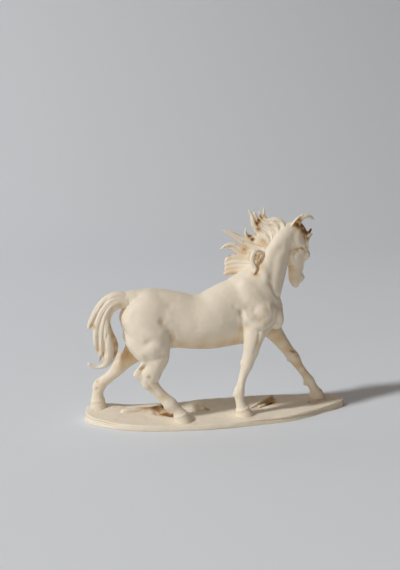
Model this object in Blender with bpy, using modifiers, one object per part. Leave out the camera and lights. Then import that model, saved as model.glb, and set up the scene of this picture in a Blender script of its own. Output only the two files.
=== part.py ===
"""Horse figurine: a striding horse, its head turned away, cast in one piece with the rough ground."""

import math

import bmesh
import bpy
import numpy as np
from mathutils import Matrix, Vector

# Driving dimensions, in metres
WITHERS_HEIGHT = 0.136  # from the ground's nominal top to the top of the shoulders
GROUND_THICKNESS = 0.008  # from the underside to the ground's nominal top

# Mesh detail, in metres
FLESH_VOXEL = 0.0014
CASTING_VOXEL = 0.0009
MOST_TRIANGLES = 9400

# The forms below are in millimetres, for a horse of this height: x forward, y to its left, z above the ground.
MODEL_WITHERS = 136.0
UNIT = WITHERS_HEIGHT / MODEL_WITHERS
UNDERSIDE = -GROUND_THICKNESS / UNIT
SECTION_SIDES = 20
CAST_COLOUR = (0.86, 0.77, 0.62, 1.0)

# Trunk and neck: (x, y, z, half depth, half width, yaw)
TRUNK = [
    (-89.5, 0, 105, 14, 9),
    (-86, 0, 102.6, 21.4, 14),
    (-80, 0, 99.8, 27.4, 19.5),
    (-68, 0, 97, 29.6, 21.4),
    (-56, 0, 95, 30, 22),
    (-43, 0, 94, 28.2, 22),
    (-29, 0, 91.5, 27, 23),
    (-14, 0, 91.5, 28.3, 24),
    (0, 0, 95, 31, 23),
    (14, 0, 99, 33.5, 20),
    (28, 0, 101.5, 33.5, 18),
    (42, 0, 100, 28.5, 17),
    (52, 0, 98, 22, 15),
    (57, 0, 97, 15, 11),
]
NECK = [
    (28, 0, 108, 32, 18, 0),
    (41, 0, 123, 27, 17.5, 0),
    (50.5, 0.5, 134.5, 20.5, 14, 6),
    (57, 2, 146, 17.5, 11.5, 14),
    (62, 4.5, 156, 16, 10.5, 24),
    (67.5, 7, 165, 15, 9.8, 34),
    (74, 9.5, 173, 14, 9.3, 38),
    (79, 11, 178, 11, 8.5, 38),
]
DOCK = [(-70, 0, 113, 12, 10), (-82, 0, 116, 9, 9), (-93, 0, 117.6, 6, 6.5)]

# Legs, from the hip or shoulder down to the coronet
NEAR_HIND = [
    (-74, -7.5, 107, 20, 13.5),
    (-72.7, -10, 93, 23.3, 15.2),
    (-71.8, -12.6, 80, 23.5, 15.5),
    (-69.5, -15.5, 69, 19.5, 13.5),
    (-67, -18, 59, 13.5, 10),
    (-69, -20, 51, 9.5, 7.5),
    (-72.5, -21, 44, 9.5, 6.6),
    (-73.5, -21, 39, 8.5, 6.3),
    (-70.5, -21.3, 34.5, 6.8, 5.4),
    (-65.3, -22, 28.3, 5.5, 4.6),
    (-59.6, -22.5, 22.1, 5.6, 4.7),
    (-53.3, -23, 15.8, 6.8, 5.9),
    (-48, -23.3, 10.5, 5.3, 5),
    (-43.8, -23.5, 5.2, 6.4, 6.3),
]
FAR_HIND = [
    (-76, 8, 108, 19.5, 14),
    (-76.5, 11, 92, 19, 14.5),
    (-77, 14, 79, 18, 14),
    (-78, 17, 67, 14, 11),
    (-84.5, 19, 57.5, 10.5, 8),
    (-91, 20, 51, 8.5, 6.6),
    (-95.5, 20.3, 46.5, 7.8, 6.2),
    (-100.8, 21, 40.5, 6.5, 5.2),
    (-106.5, 22, 34.8, 5.7, 4.7),
    (-112, 22.6, 30.5, 5.8, 4.8),
    (-117, 23, 26, 6.6, 5.8),
    (-119.3, 23.5, 18.5, 5.6, 5.2),
    (-119.6, 23.7, 10.8, 6.8, 6.5),
]
NEAR_FORE = [
    (42, -10, 104, 18, 9),
    (37, -13.5, 91, 16, 10),
    (32, -17, 80.4, 11.5, 8.8),
    (29.4, -18.2, 69, 9, 7.4),
    (27.6, -18.2, 60.7, 7.6, 6.2),
    (25.7, -18, 54.3, 6.5, 6),
    (24.7, -18, 50.3, 6.4, 6.2),
    (23.6, -18, 46.5, 5.7, 5.5),
    (21.3, -17.8, 40.6, 4.6, 4.3),
    (19.5, -17.6, 33.8, 4.2, 4),
    (18.2, -17.5, 27.6, 4.5, 4.2),
    (16.6, -17.5, 21.6, 5.6, 5.2),
    (17.4, -17.5, 14.8, 4.6, 4.5),
    (18.9, -17.5, 9.5, 5.3, 5.2),
    (20.1, -17.5, 5.4, 6.3, 6.2),
]
FAR_FORE = [
    (43, 9, 105, 18, 9),
    (50, 13, 92, 16, 10),
    (56.5, 15.5, 81.5, 12.5, 9),
    (62, 16.5, 74, 9.8, 8),
    (69, 17.3, 65, 7.7, 6.6),
    (77, 18.2, 54.5, 6.2, 5.5),
    (81.3, 18.7, 49, 6.2, 5.8),
    (84.3, 19, 45.2, 6.5, 6.2),
    (87.4, 19.2, 40.6, 5.6, 5.4),
    (90.8, 19.5, 35.2, 4.6, 4.3),
    (96, 20, 28.4, 4.2, 4),
    (99.6, 20.3, 23.4, 4.6, 4.2),
    (102.6, 20.5, 18.8, 5.6, 5.2),
    (106.6, 20.7, 12.8, 4.6, 4.5),
    (110.3, 20.7, 5.8, 6.3, 6.2),
]

# Heel cords and points of the hocks
HOCKS = [
    [(-78, -21, 42, 5, 4.2), (-83, -21, 45, 4.2, 3.6), (-86.5, -21, 47.3, 3.6, 3.3)],
    [(-74.5, -20, 64, 3, 4), (-80.5, -20.7, 55, 2, 2.4), (-85.5, -21, 48.5, 2.6, 2.6)],
    [(-93, 20.3, 49, 5, 4.2), (-96.5, 20.3, 52.5, 4, 3.4), (-98.3, 20.3, 55, 3, 3)],
    [(-84, 18, 66, 3, 4), (-92, 19.5, 60, 2, 2.4), (-97.5, 20.3, 56, 2.4, 2.6)],
]

# Hooves: coronet centre, then sole centre
HOOVES = [
    ((-43.6, -23.5, 5.4), (-40.6, -23.5, -4)),
    ((-119.6, 23.7, 10.8), (-118.6, 23.7, 0)),
    ((20.2, -17.5, 5.4), (23.2, -17.5, -4)),
    ((110.5, 20.7, 5.8), (112.8, 20.7, -3)),
]
CORONET_RADIUS = 6.9
SOLE_RADIUS = 8.9

# Muscles: centre, half sizes and lean, the same on both sides
MUSCLES = [
    ((33, 12, 112), (14, 8.2, 25), -30),  # shoulder blade
    ((25, 15, 96), (14, 7.5, 10), -22),  # upper arm
    ((42, 13, 101), (13, 9.5, 12.5), -20),  # point of the shoulder
    ((57, 6.5, 94), (8.5, 8, 13.5), -8),  # breast
    ((-70, 10.5, 104), (23, 11, 17), -8),  # rump
    ((-84.5, 11, 94), (12, 9.5, 21), 2),  # back of the thigh
    ((-54, 14.6, 108), (9, 4, 7), 0),  # point of the hip
]
WITHERS = ((16, 0, 127), (20, 6, 9), -28)

# Head: distance down from the poll, how far the face and the jaw stand from its axis, half width
HEAD_YAW = 22.0
POLL = (80, 9.5, 182)
SKULL = [
    (-2, 3.6, -7, 5.0),
    (4, 7.6, -11, 7.6),
    (10, 10, -12, 8.6),
    (17, 11.4, -10, 9.0),
    (24, 13.2, -6.5, 9.0),
    (30, 13.4, -5.2, 8.6),
    (36, 11.6, -5.0, 7.0),
    (42, 10.4, -4.6, 6.0),
    (48, 10.0, -4.4, 5.9),
    (53, 10.4, -3.8, 6.3),
    (57, 8.8, -1.8, 5.8),
    (60.3, 6.0, 1.0, 3.6),
]
FACE_FORMS = [
    ((3.6, 5.0, 31.0), (9.4, 4.0, 8.0)),  # cheek
    ((11.6, 6.4, 28.4), (4.6, 3.3, 4.2)),  # brow
    ((8.4, 4.4, 51.4), (3.0, 2.3, 4.0)),  # nostril
    ((1.0, 2.0, 57.5), (3.0, 2.4, 2.6)),  # chin
]

# Ears, from the root to the tip: (x, y, z, half depth, half width, yaw)
EARS = [
    [
        (74.5, 6.5, 174, 5.4, 5.4, 138),
        (77, 5.4, 180, 5.8, 5.8, 138),
        (80.6, 4.8, 186, 4.8, 4.8, 138),
        (84.2, 4.2, 191.2, 2.8, 2.9, 138),
        (86.8, 3.9, 195, 1, 1, 138),
    ],
    [
        (86, 13.5, 178, 4.4, 4.8, 160),
        (88.2, 15.4, 185.6, 4.6, 4.8, 160),
        (92.4, 17, 190.2, 4.1, 4.2, 160),
        (98, 18.2, 191, 2.9, 3.0, 160),
        (103.8, 19, 188.8, 1, 1, 160),
    ],
]

# Hair, from the root to the tip: (x, y, z, half depth, half width)
MANE = [
    [
        (72, 10, 186, 7, 5), (64, 12, 189, 7, 5), (57, 13, 188, 6, 5),
        (51, 13, 192, 4, 3.4), (47.5, 13, 201, 1, 1),
    ],
    [(70, 8, 183, 7, 5), (60, 11, 181, 7, 5.5), (51, 13, 182, 5, 4), (46, 14, 189, 3, 3), (45, 14, 197, 1, 1)],
    [
        (64, 7, 177, 7, 5), (54, 11, 177, 7, 5), (44, 13, 181, 5, 4),
        (38.5, 13, 188, 4, 3.4), (34, 13, 198, 1, 1),
    ],
    [
        (58, 6, 171, 7, 5), (48, 10, 174, 6, 5), (40, 12, 174, 4, 3.5),
        (34, 12, 176, 2.6, 2), (30.5, 12, 180, 1, 1),
    ],
    [
        (56, 5, 167, 7, 5), (45, 9, 166, 6, 5), (34, 13, 167, 5.5, 4.4),
        (23, 14, 172, 4, 3.4), (14, 14, 177, 2.6, 2.4), (6, 13, 180, 1, 1),
    ],
    [
        (48, 3, 161, 6, 5), (36, 8, 158, 5, 4), (26, 12, 160, 4.4, 4),
        (18, 14, 164, 3, 3), (11, 14, 165, 2, 2), (6, 14, 161, 1, 1),
    ],
    [(42, 1, 156, 8, 5), (30, 7, 153, 7, 4.5), (20, 11, 153, 6, 3.6), (13, 13, 153, 3, 2.6)],
    [(38, 0, 150, 8, 5), (27, 6, 146, 7, 4), (18, 10, 144, 6, 3.4), (12, 12, 142, 4, 2.6)],
    [(34, -1, 145, 6, 4), (25, 4, 141, 6, 4), (16, 8, 137.5, 5, 3.4), (11.5, 9, 135, 3, 2.4)],
]
CURL = [
    (42.4, -3, 158.6, 1.8, 2.2), (39, -5, 160.8, 2, 2.6), (34.8, -6.6, 160.2, 2.2, 2.8),
    (32, -7.6, 157, 2.4, 2.8), (31, -8.4, 152.4, 2.5, 2.6), (32.2, -9.2, 147.8, 2.3, 2.4),
    (34.2, -10, 143.6, 1.8, 2), (32.4, -10.6, 138.4, 1, 1),
]
FORELOCK = [
    [
        (84, 11, 186, 3, 4), (88.5, 11.4, 181, 3, 4), (92.6, 11.2, 175.6, 2.4, 3),
        (95.8, 11, 176, 2, 2), (98.2, 11, 179.6, 1, 1),
    ],
    [
        (88, 11.4, 181, 3, 3.6), (91.6, 11.6, 173, 2.6, 3.4), (93.2, 11.4, 166, 2.2, 3),
        (93.8, 11.2, 159, 1.4, 2.2),
    ],
]
TAIL = [
    [
        (-84, 0, 117, 6, 6), (-95, 0, 119.5, 6, 6), (-105, 0, 119.5, 5.6, 6), (-114, 0, 115, 5.4, 6),
        (-121, 0, 107, 5, 5.5), (-125.5, 0, 98, 4.6, 5), (-128, 0, 91.5, 3.6, 4),
    ],
    [
        (-100, 0, 118, 5, 6), (-110, 0, 113, 5.5, 7), (-117, 0, 102, 5.5, 7.5), (-120, 0, 90, 5, 7),
        (-122, 0, 80, 4.5, 6), (-122.5, 0, 71, 3.6, 5), (-119, 0, 64, 2, 3),
    ],
    [
        (-98, 0, 116, 4, 5), (-106, 0, 111, 5, 6.5), (-111.5, 0, 99, 5.5, 8), (-114, 0, 86, 6, 8.5),
        (-114.5, 0, 74, 6, 8), (-112.5, 0, 62, 5.5, 7), (-113, 0, 54, 4, 5),
    ],
    [
        (-92, 0, 117.5, 4, 5), (-103, 0, 116, 4, 5.5), (-110, 0, 107.5, 4, 6), (-111.8, 0, 96, 4.5, 7),
        (-110, 0, 84, 4.6, 7.5), (-106.5, 0, 74, 4.6, 7), (-105, 0, 63, 4.4, 6), (-108.5, 0, 55, 4.2, 5),
        (-116, 0, 50.5, 3, 3.6), (-123, 0, 52, 2.6, 3), (-129, 0, 54, 2.6, 3),
    ],
]

# Ground: plan outline, then the stones and branches that lie on it
GROUND_EDGE = [
    (-134, 15), (-129, 2), (-119, -8), (-105, -19), (-86, -28), (-58, -34.5), (-26, -38), (4, -37.5),
    (36, -34), (64, -30), (88, -21), (107, -10.5), (125, -1), (137, 8), (141, 18), (134, 27.5), (110, 31),
    (70, 30), (30, 29), (-10, 29), (-50, 30), (-90, 32), (-118, 34.5), (-130, 30),
]
STONES = [
    ((-21, 9, 0.5), (6.5, 4.5, 4), 10),
    ((-14.5, 11, 0), (4.5, 3.5, 3.2), 40),
    ((-128, 22, 2), (4, 4, 3), 0),
    ((96, 2, -1.5), (4, 3, 2), 0),
]
BRANCHES = [
    [(-98, 9, 0, 3.4, 4), (-88, 14, 0.4, 3.2, 3.4), (-76, 20, 0.6, 2.6, 2.8), (-62, 27, 1, 2, 2.4)],
    [(-80, 17, 0, 2.2, 2.6), (-70, 17, 0, 1.8, 2.2), (-60, 19, 0, 1.4, 1.8)],
    [(36, 4, -1, 2.6, 3), (44, 11, 0.5, 2.8, 3.2), (53, 18, 1.4, 2.8, 3.4), (60, 25, 2, 2.4, 3)],
    [(40, 14, 0, 2, 2.4), (50, 13, 1, 2, 2.4)],
]


def fluted_section(sides=SECTION_SIDES, flutes=0, depth=0.0):
    """A unit circle, or a fluted one for hair."""
    section = []
    for k in range(sides):
        angle = 2 * math.pi * k / sides
        radius = 1 + depth * math.cos(flutes * angle)
        section.append((radius * math.cos(angle), radius * math.sin(angle)))
    return section


def skull_section(sides=SECTION_SIDES):
    """Flat cheeks, narrower at the jaw than at the brow."""
    section = []
    for k in range(sides):
        angle = 2 * math.pi * k / sides
        u = math.copysign(abs(math.cos(angle)) ** 0.8, math.cos(angle))
        v = math.copysign(abs(math.sin(angle)) ** 0.8, math.sin(angle))
        section.append((u * (1 - 0.42 * max(-v, 0) ** 1.6 - 0.16 * max(v, 0)), v))
    return section


def cup_section(arc=230.0, wall=0.4, sides=12):
    """A crescent that opens forward, for an ear."""
    half = math.radians(arc / 2)
    outer, inner = [], []
    for k in range(sides):
        angle = -math.pi / 2 - half + 2 * half * k / (sides - 1)
        thick = wall * (1 - 0.5 * (2 * k / (sides - 1) - 1) ** 2)
        outer.append((math.cos(angle), math.sin(angle)))
        inner.append(((1 - thick) * math.cos(angle), (1 - thick) * math.sin(angle)))
    return outer + inner[::-1]


def smooth_path(stations, steps):
    """Catmull-Rom through the stations, end to end."""
    points = np.array(stations, float)
    padded = np.vstack([2 * points[0] - points[1], points, 2 * points[-1] - points[-2]])
    smooth = []
    for i in range(len(points) - 1):
        before, start, end, after = padded[i : i + 4]
        for k in range(steps):
            t = k / steps
            bend = (2 * before - 5 * start + 4 * end - after) * t**2
            bend += (3 * start - before - 3 * end + after) * t**3
            smooth.append(0.5 * (2 * start + (end - before) * t + bend))
    return np.array([*smooth, points[-1]])


def station_matrix(centre, tangent, half_depth, half_width, yaw, roll):
    """Local x is the form's left, local y its front, local z the way it runs."""
    left = Vector((-math.sin(yaw), math.cos(yaw), 0))
    front = tangent.cross(left).normalized()
    left = front.cross(tangent).normalized()
    turned_left = left * math.cos(roll) + front * math.sin(roll)
    turned_front = front * math.cos(roll) - left * math.sin(roll)
    axes = Matrix((turned_left * half_width, turned_front * half_depth, tangent)).transposed()
    return Matrix.Translation(centre) @ axes.to_4x4()


def rounded_end(frame, way):
    """Frames that close a form like half an ellipsoid."""
    centre, tangent, depth, width, yaw, roll = frame
    reach = way * 0.8 * min(depth, width)
    frames = []
    for angle in (30, 60, 80):
        along = reach * math.sin(math.radians(angle))
        share = math.cos(math.radians(angle))
        frames.append((centre + tangent * along, tangent, depth * share, width * share, yaw, roll))
    return frames


def stack(bm, rings):
    """A closed form through the rings, each with as many points as the first."""
    made = bmesh.ops.create_circle(bm, cap_ends=True, segments=len(rings[0]), radius=1.0)
    face = made["verts"][0].link_faces[0]
    first = list(face.verts)
    edges = list(face.edges)
    for corner, point in zip(first, rings[0]):
        corner.co = point
    for ring in rings[1:]:
        face = bmesh.ops.extrude_discrete_faces(bm, faces=[face])["faces"][0]
        for corner, point in zip(face.verts, ring):
            corner.co = point
    bmesh.ops.contextual_create(bm, geom=edges)


def loft(bm, stations, section=None, steps=4, rounded=True):
    """A form through the stations; its depth lies in the plane that its path bends in."""
    section = section or fluted_section()
    full = [tuple(s) + (0.0,) * (7 - len(s)) for s in stations]
    path = smooth_path(full, steps)
    tangents = np.gradient(path[:, :3], axis=0)
    frames = []
    for row, direction in zip(path, tangents):
        yaw, roll = math.radians(row[5]), math.radians(row[6])
        depth, width = max(row[3], 0.5), max(row[4], 0.5)
        frames.append((Vector(row[:3]), Vector(direction).normalized(), depth, width, yaw, roll))
    if rounded:
        frames = rounded_end(frames[0], -1)[::-1] + frames + rounded_end(frames[-1], 1)
    rings = []
    for frame in frames:
        matrix = station_matrix(*frame)
        rings.append([matrix @ Vector((u, v, 0)) for u, v in section])
    stack(bm, rings)


def bulge(bm, centre, radii, pitch=0.0, yaw=0.0):
    """An ellipsoid: a muscle, a joint or a stone. Pitch leans its top forward, in degrees."""
    turn = Matrix.Rotation(math.radians(yaw), 4, "Z") @ Matrix.Rotation(math.radians(pitch), 4, "Y")
    matrix = Matrix.Translation(centre) @ turn @ Matrix.Diagonal((*radii, 1))
    bmesh.ops.create_uvsphere(bm, u_segments=20, v_segments=14, radius=1.0, matrix=matrix)


def add_trunk(bm):
    loft(bm, TRUNK)
    loft(bm, NECK)
    loft(bm, DOCK)
    for (x, y, z), radii, lean in MUSCLES:
        bulge(bm, (x, y, z), radii, lean)
        bulge(bm, (x, -y, z), radii, lean)
    bulge(bm, *WITHERS)


def head_place():
    """Head frame: x to the face, y to the right, z down the face."""
    yaw = math.radians(HEAD_YAW)
    face = Vector((math.cos(yaw), math.sin(yaw), 0))
    right = Vector((face.y, -face.x, 0))
    axes = Matrix((face, right, (0, 0, -1))).transposed()
    return Matrix.Translation(POLL) @ axes.to_4x4()


def add_head(bm):
    place = head_place()
    stations = []
    for down, front, back, width in SKULL:
        centre = place @ Vector(((front + back) / 2, 0, down))
        stations.append((*centre, (front - back) / 2, width, HEAD_YAW))
    loft(bm, stations, skull_section())
    for (x, y, z), radii in FACE_FORMS:
        for side in (-1, 1):
            matrix = place @ Matrix.Translation((x, side * y, z)) @ Matrix.Diagonal((*radii, 1))
            bmesh.ops.create_uvsphere(bm, u_segments=20, v_segments=14, radius=1.0, matrix=matrix)


def add_hooves(bm):
    for coronet, sole in HOOVES:
        top = (*coronet, CORONET_RADIUS, CORONET_RADIUS)
        bottom = (*sole, SOLE_RADIUS, SOLE_RADIUS)
        loft(bm, [top, bottom], steps=2, rounded=False)


def add_hair(bm):
    for lock in MANE:
        loft(bm, lock, fluted_section(flutes=5, depth=0.12))
    for lock in TAIL:
        loft(bm, lock, fluted_section(flutes=6, depth=0.10))
    for lock in (CURL, *FORELOCK):
        loft(bm, lock)


def ground_top(x, y):
    """Height of the ground: a slope to the front, and a rise under the far hind hoof."""
    rise = 3.2 * math.exp(-((x + 116) ** 2) / 900 - (y - 24) ** 2 / 500)
    waves = 0.35 * math.sin(x * 0.11 + y * 0.05) + 0.25 * math.sin(x * 0.05 - y * 0.17)
    return -1.1 + 0.045 * y + rise + waves


def add_ground(bm):
    edge = smooth_path([*GROUND_EDGE, GROUND_EDGE[0]], 4)[:-1]
    middle = np.array((0.0, 0.0))
    rings = []
    for level, inset in ((UNDERSIDE - 3, 0.6), (UNDERSIDE + 0.6, 0.4), (UNDERSIDE + 2.0, 0.0)):
        rings.append([(*ground_point(point, inset), level) for point in edge])
    for inset, drop in ((1.2, 2.0), (0.9, 1.6), (2.6, 0.4), (4.5, 0.0)):
        ring = [ground_point(point, inset) for point in edge]
        rings.append([(x, y, ground_top(x, y) - drop) for x, y in ring])
    for share in (0.8, 0.6, 0.4, 0.2, 0.05):
        ring = [middle + share * (point - middle) for point in edge]
        rings.append([(x, y, ground_top(x, y)) for x, y in ring])
    stack(bm, rings)
    for centre, radii, yaw in STONES:
        bulge(bm, centre, radii, yaw=yaw)
    for branch in BRANCHES:
        loft(bm, branch)


def ground_point(point, inset):
    reach = math.hypot(point[0], point[1])
    return point[0] * (1 - inset / reach), point[1] * (1 - inset / reach)


def flesh_softness(point):
    """How strongly the flesh is smoothed: fully on the trunk, little on the legs and head."""
    x, _, z = point
    body = min(max((z - 62) / 18, 0.0), 1.0)
    head = min(max((x - 70) / 12, 0.0), 1.0) * min(max((z - 120) / 10, 0.0), 1.0)
    return 0.12 + 0.88 * body * (1 - head)


def through_modifiers(name, bm, add_modifiers, weight=None):
    """The mesh of these forms after modifiers, in millimetres."""
    bmesh.ops.recalc_face_normals(bm, faces=bm.faces)
    mesh = bpy.data.meshes.new(name)
    bm.to_mesh(mesh)
    bm.free()
    obj = bpy.data.objects.new(name, mesh)
    bpy.context.scene.collection.objects.link(obj)
    if weight:
        group = obj.vertex_groups.new(name="softness")
        for vert in mesh.vertices:
            group.add([vert.index], weight(vert.co), "REPLACE")
    add_modifiers(obj)
    shape = bpy.data.meshes.new_from_object(obj.evaluated_get(bpy.context.evaluated_depsgraph_get()))
    bpy.data.objects.remove(obj)
    return shape


def add_voxels(obj, size):
    remesh = obj.modifiers.new("Voxels", "REMESH")
    remesh.mode = "VOXEL"
    remesh.voxel_size = size / UNIT


def add_smooth(obj, repeats, group=""):
    smooth = obj.modifiers.new("Smooth", "SMOOTH")
    smooth.factor = 0.5
    smooth.iterations = repeats
    smooth.vertex_group = group


def make_flesh():
    bm = bmesh.new()
    add_trunk(bm)
    add_head(bm)
    for leg in (NEAR_HIND, FAR_HIND, NEAR_FORE, FAR_FORE, *HOCKS):
        loft(bm, leg)
    joined = through_modifiers("Flesh forms", bm, lambda obj: add_voxels(obj, FLESH_VOXEL))
    bm = bmesh.new()
    bm.from_mesh(joined)
    return through_modifiers(
        "Flesh", bm, lambda obj: add_smooth(obj, 24, "softness"), weight=flesh_softness
    )


def finish_casting(obj):
    add_voxels(obj, CASTING_VOXEL)
    add_smooth(obj, 2)


def make_casting():
    bm = bmesh.new()
    bm.from_mesh(make_flesh())
    add_hooves(bm)
    add_hair(bm)
    for ear in EARS:
        loft(bm, ear, cup_section())
    add_ground(bm)
    dense = through_modifiers("Casting forms", bm, finish_casting)
    bm = bmesh.new()
    bm.from_mesh(dense)
    bmesh.ops.triangulate(bm, faces=bm.faces)
    share = MOST_TRIANGLES / len(bm.faces)

    def lighten(obj):
        obj.modifiers.new("Fewer", "DECIMATE").ratio = share

    light = through_modifiers("Casting light", bm, lighten)
    bm = bmesh.new()
    bm.from_mesh(light)
    cut = bmesh.ops.bisect_plane(
        bm,
        geom=[*bm.verts, *bm.edges, *bm.faces],
        plane_co=(0, 0, UNDERSIDE),
        plane_no=(0, 0, -1),
        clear_outer=True,
    )
    rim = [item for item in cut["geom_cut"] if isinstance(item, bmesh.types.BMEdge)]
    bmesh.ops.contextual_create(bm, geom=rim)
    return bm


def seat(bm):
    """Sets the underside at zero and the middle of the plan at the origin."""
    bmesh.ops.scale(bm, vec=(UNIT, UNIT, UNIT), verts=bm.verts)
    low = Vector([min(v.co[axis] for v in bm.verts) for axis in range(3)])
    high = Vector([max(v.co[axis] for v in bm.verts) for axis in range(3)])
    middle = (low + high) / 2
    bmesh.ops.translate(bm, vec=(-middle.x, -middle.y, -low.z), verts=bm.verts)


def cast_material():
    material = bpy.data.materials.new("Cream cast resin")
    material.use_nodes = True
    shader = material.node_tree.nodes["Principled BSDF"]
    shader.inputs["Base Color"].default_value = CAST_COLOUR
    shader.inputs["Roughness"].default_value = 0.55
    return material


def main():
    for obj in list(bpy.data.objects):
        bpy.data.objects.remove(obj, do_unlink=True)
    bm = make_casting()
    seat(bm)
    for face in bm.faces:
        face.smooth = face.normal.z > -0.999
    bmesh.ops.triangulate(bm, faces=bm.faces)
    mesh = bpy.data.meshes.new("horse_figurine")
    bm.to_mesh(mesh)
    bm.free()
    mesh.materials.append(cast_material())
    collection = bpy.data.collections.new("horse_figurine")
    bpy.context.scene.collection.children.link(collection)
    collection.objects.link(bpy.data.objects.new("horse_figurine", mesh))


main()
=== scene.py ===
import math

import bmesh
import bpy
import numpy as np
from mathutils import Matrix, Vector, noise


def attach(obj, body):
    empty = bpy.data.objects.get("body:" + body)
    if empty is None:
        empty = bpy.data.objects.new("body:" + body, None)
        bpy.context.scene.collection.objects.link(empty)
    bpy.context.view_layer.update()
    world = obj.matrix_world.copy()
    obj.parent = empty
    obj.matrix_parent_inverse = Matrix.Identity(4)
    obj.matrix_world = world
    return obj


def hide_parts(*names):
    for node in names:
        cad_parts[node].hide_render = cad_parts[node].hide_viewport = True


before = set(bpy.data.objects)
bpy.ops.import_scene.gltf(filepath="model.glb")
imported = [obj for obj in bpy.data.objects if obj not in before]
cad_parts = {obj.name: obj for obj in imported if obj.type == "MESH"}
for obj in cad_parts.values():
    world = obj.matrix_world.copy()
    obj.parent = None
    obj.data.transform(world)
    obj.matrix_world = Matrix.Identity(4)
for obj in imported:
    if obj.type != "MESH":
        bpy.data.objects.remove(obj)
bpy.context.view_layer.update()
scene = bpy.context.scene
print("frame loaded")

# Everything is modelled in millimetres, x forward, y to the horse's left, z above the ground,
# then set on the underside and the middle of the plan.
toScene = Matrix.Translation((-0.0035, 0.00175, 0.008)) @ Matrix.Scale(0.001, 4)


# helpers: paths, lofts and blobs

def ringSection(sides=24):
    return [(math.cos(2 * math.pi * k / sides), math.sin(2 * math.pi * k / sides)) for k in range(sides)]


def strandSection(strands=8, groove=0.16, turn=0.0):
    # a bundle of round strands with sharp slits between them
    ring = []
    for k in range(strands * 8):
        a = math.pi * k / (strands * 4)
        r = 1 - groove * (1 - abs(math.sin(strands * a / 2 + turn)))
        ring.append((r * math.cos(a), r * math.sin(a)))
    return ring


def skullSection(sides=32):
    # flat cheeks, narrower at the jaw than at the brow
    ring = []
    for k in range(sides):
        a = 2 * math.pi * k / sides
        u = math.copysign(abs(math.cos(a)) ** 0.8, math.cos(a))
        v = math.copysign(abs(math.sin(a)) ** 0.8, math.sin(a))
        ring.append((u * (1 - 0.42 * max(-v, 0) ** 1.6 - 0.16 * max(v, 0)), v))
    return ring


def cupSection(arc=205.0, wall=0.36, sides=18):
    # a crescent for an ear, open towards +y
    half = math.radians(arc / 2)
    outer, inner = [], []
    for k in range(sides):
        a = -math.pi / 2 - half + 2 * half * k / (sides - 1)
        thick = wall * (1 - 0.45 * (2 * k / (sides - 1) - 1) ** 2)
        outer.append((math.cos(a), math.sin(a)))
        inner.append(((1 - thick) * math.cos(a), (1 - thick) * math.sin(a)))
    return outer + inner[::-1]


def smoothPath(points, steps=4):
    pts = np.array(points, float)
    pad = np.vstack([2 * pts[0] - pts[1], pts, 2 * pts[-1] - pts[-2]])
    out = []
    for i in range(len(pts) - 1):
        a, b, c, d = pad[i : i + 4]
        for k in range(steps):
            t = k / steps
            bend = (2 * a - 5 * b + 4 * c - d) * t**2 + (3 * b - a - 3 * c + d) * t**3
            out.append(0.5 * (2 * b + (c - a) * t + bend))
    return np.array([*out, pts[-1]])


def stationMatrix(centre, tangent, depth, width, yaw, roll):
    # local x is the form's left, local y its front, local z the way it runs
    left = Vector((-math.sin(yaw), math.cos(yaw), 0))
    front = tangent.cross(left).normalized()
    left = front.cross(tangent).normalized()
    turnedLeft = left * math.cos(roll) + front * math.sin(roll)
    turnedFront = front * math.cos(roll) - left * math.sin(roll)
    axes = Matrix((turnedLeft * width, turnedFront * depth, tangent)).transposed()
    return Matrix.Translation(centre) @ axes.to_4x4()


def stationFrames(stations, steps=4, thinnest=0.3):
    full = [tuple(s) + (0.0,) * (7 - len(s)) for s in stations]
    path = smoothPath(full, steps)
    tangents = np.gradient(path[:, :3], axis=0)
    frames = []
    for row, way in zip(path, tangents):
        depth, width = max(row[3], thinnest), max(row[4], thinnest)
        yaw, roll = math.radians(row[5]), math.radians(row[6])
        frames.append((Vector(row[:3]), Vector(way).normalized(), depth, width, yaw, roll))
    return frames


def roundedEnd(station, way):
    centre, tangent, depth, width, yaw, roll = station
    out = []
    for a in (30, 60, 80):
        along = way * 0.8 * min(depth, width) * math.sin(math.radians(a))
        share = math.cos(math.radians(a))
        out.append((centre + tangent * along, tangent, depth * share, width * share, yaw, roll))
    return out


def stack(bm, rings):
    # one face extruded from ring to ring, closed at both ends
    made = bmesh.ops.create_circle(bm, cap_ends=True, segments=len(rings[0]), radius=1.0)
    face = made["verts"][0].link_faces[0]
    edges = list(face.edges)
    for corner, point in zip(list(face.verts), rings[0]):
        corner.co = point
    for ring in rings[1:]:
        face = bmesh.ops.extrude_discrete_faces(bm, faces=[face])["faces"][0]
        for corner, point in zip(face.verts, ring):
            corner.co = point
    bmesh.ops.contextual_create(bm, geom=edges)


def loft(bm, stations, section=None, steps=4, rounded=True):
    section = section or ringSection()
    frames = stationFrames(stations, steps)
    if rounded:
        frames = roundedEnd(frames[0], -1)[::-1] + frames + roundedEnd(frames[-1], 1)
    rings = []
    for station in frames:
        m = stationMatrix(*station)
        rings.append([m @ Vector((u, v, 0)) for u, v in section])
    stack(bm, rings)


def blob(bm, centre, radii, pitch=0.0, yaw=0.0, place=None):
    turn = Matrix.Rotation(math.radians(yaw), 4, "Z") @ Matrix.Rotation(math.radians(pitch), 4, "Y")
    m = Matrix.Translation(centre) @ turn @ Matrix.Diagonal((*radii, 1))
    if place:
        m = place @ m
    bmesh.ops.create_uvsphere(bm, u_segments=24, v_segments=16, radius=1.0, matrix=m)


# helpers: voxels, smoothing and carving on dense meshes

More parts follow.
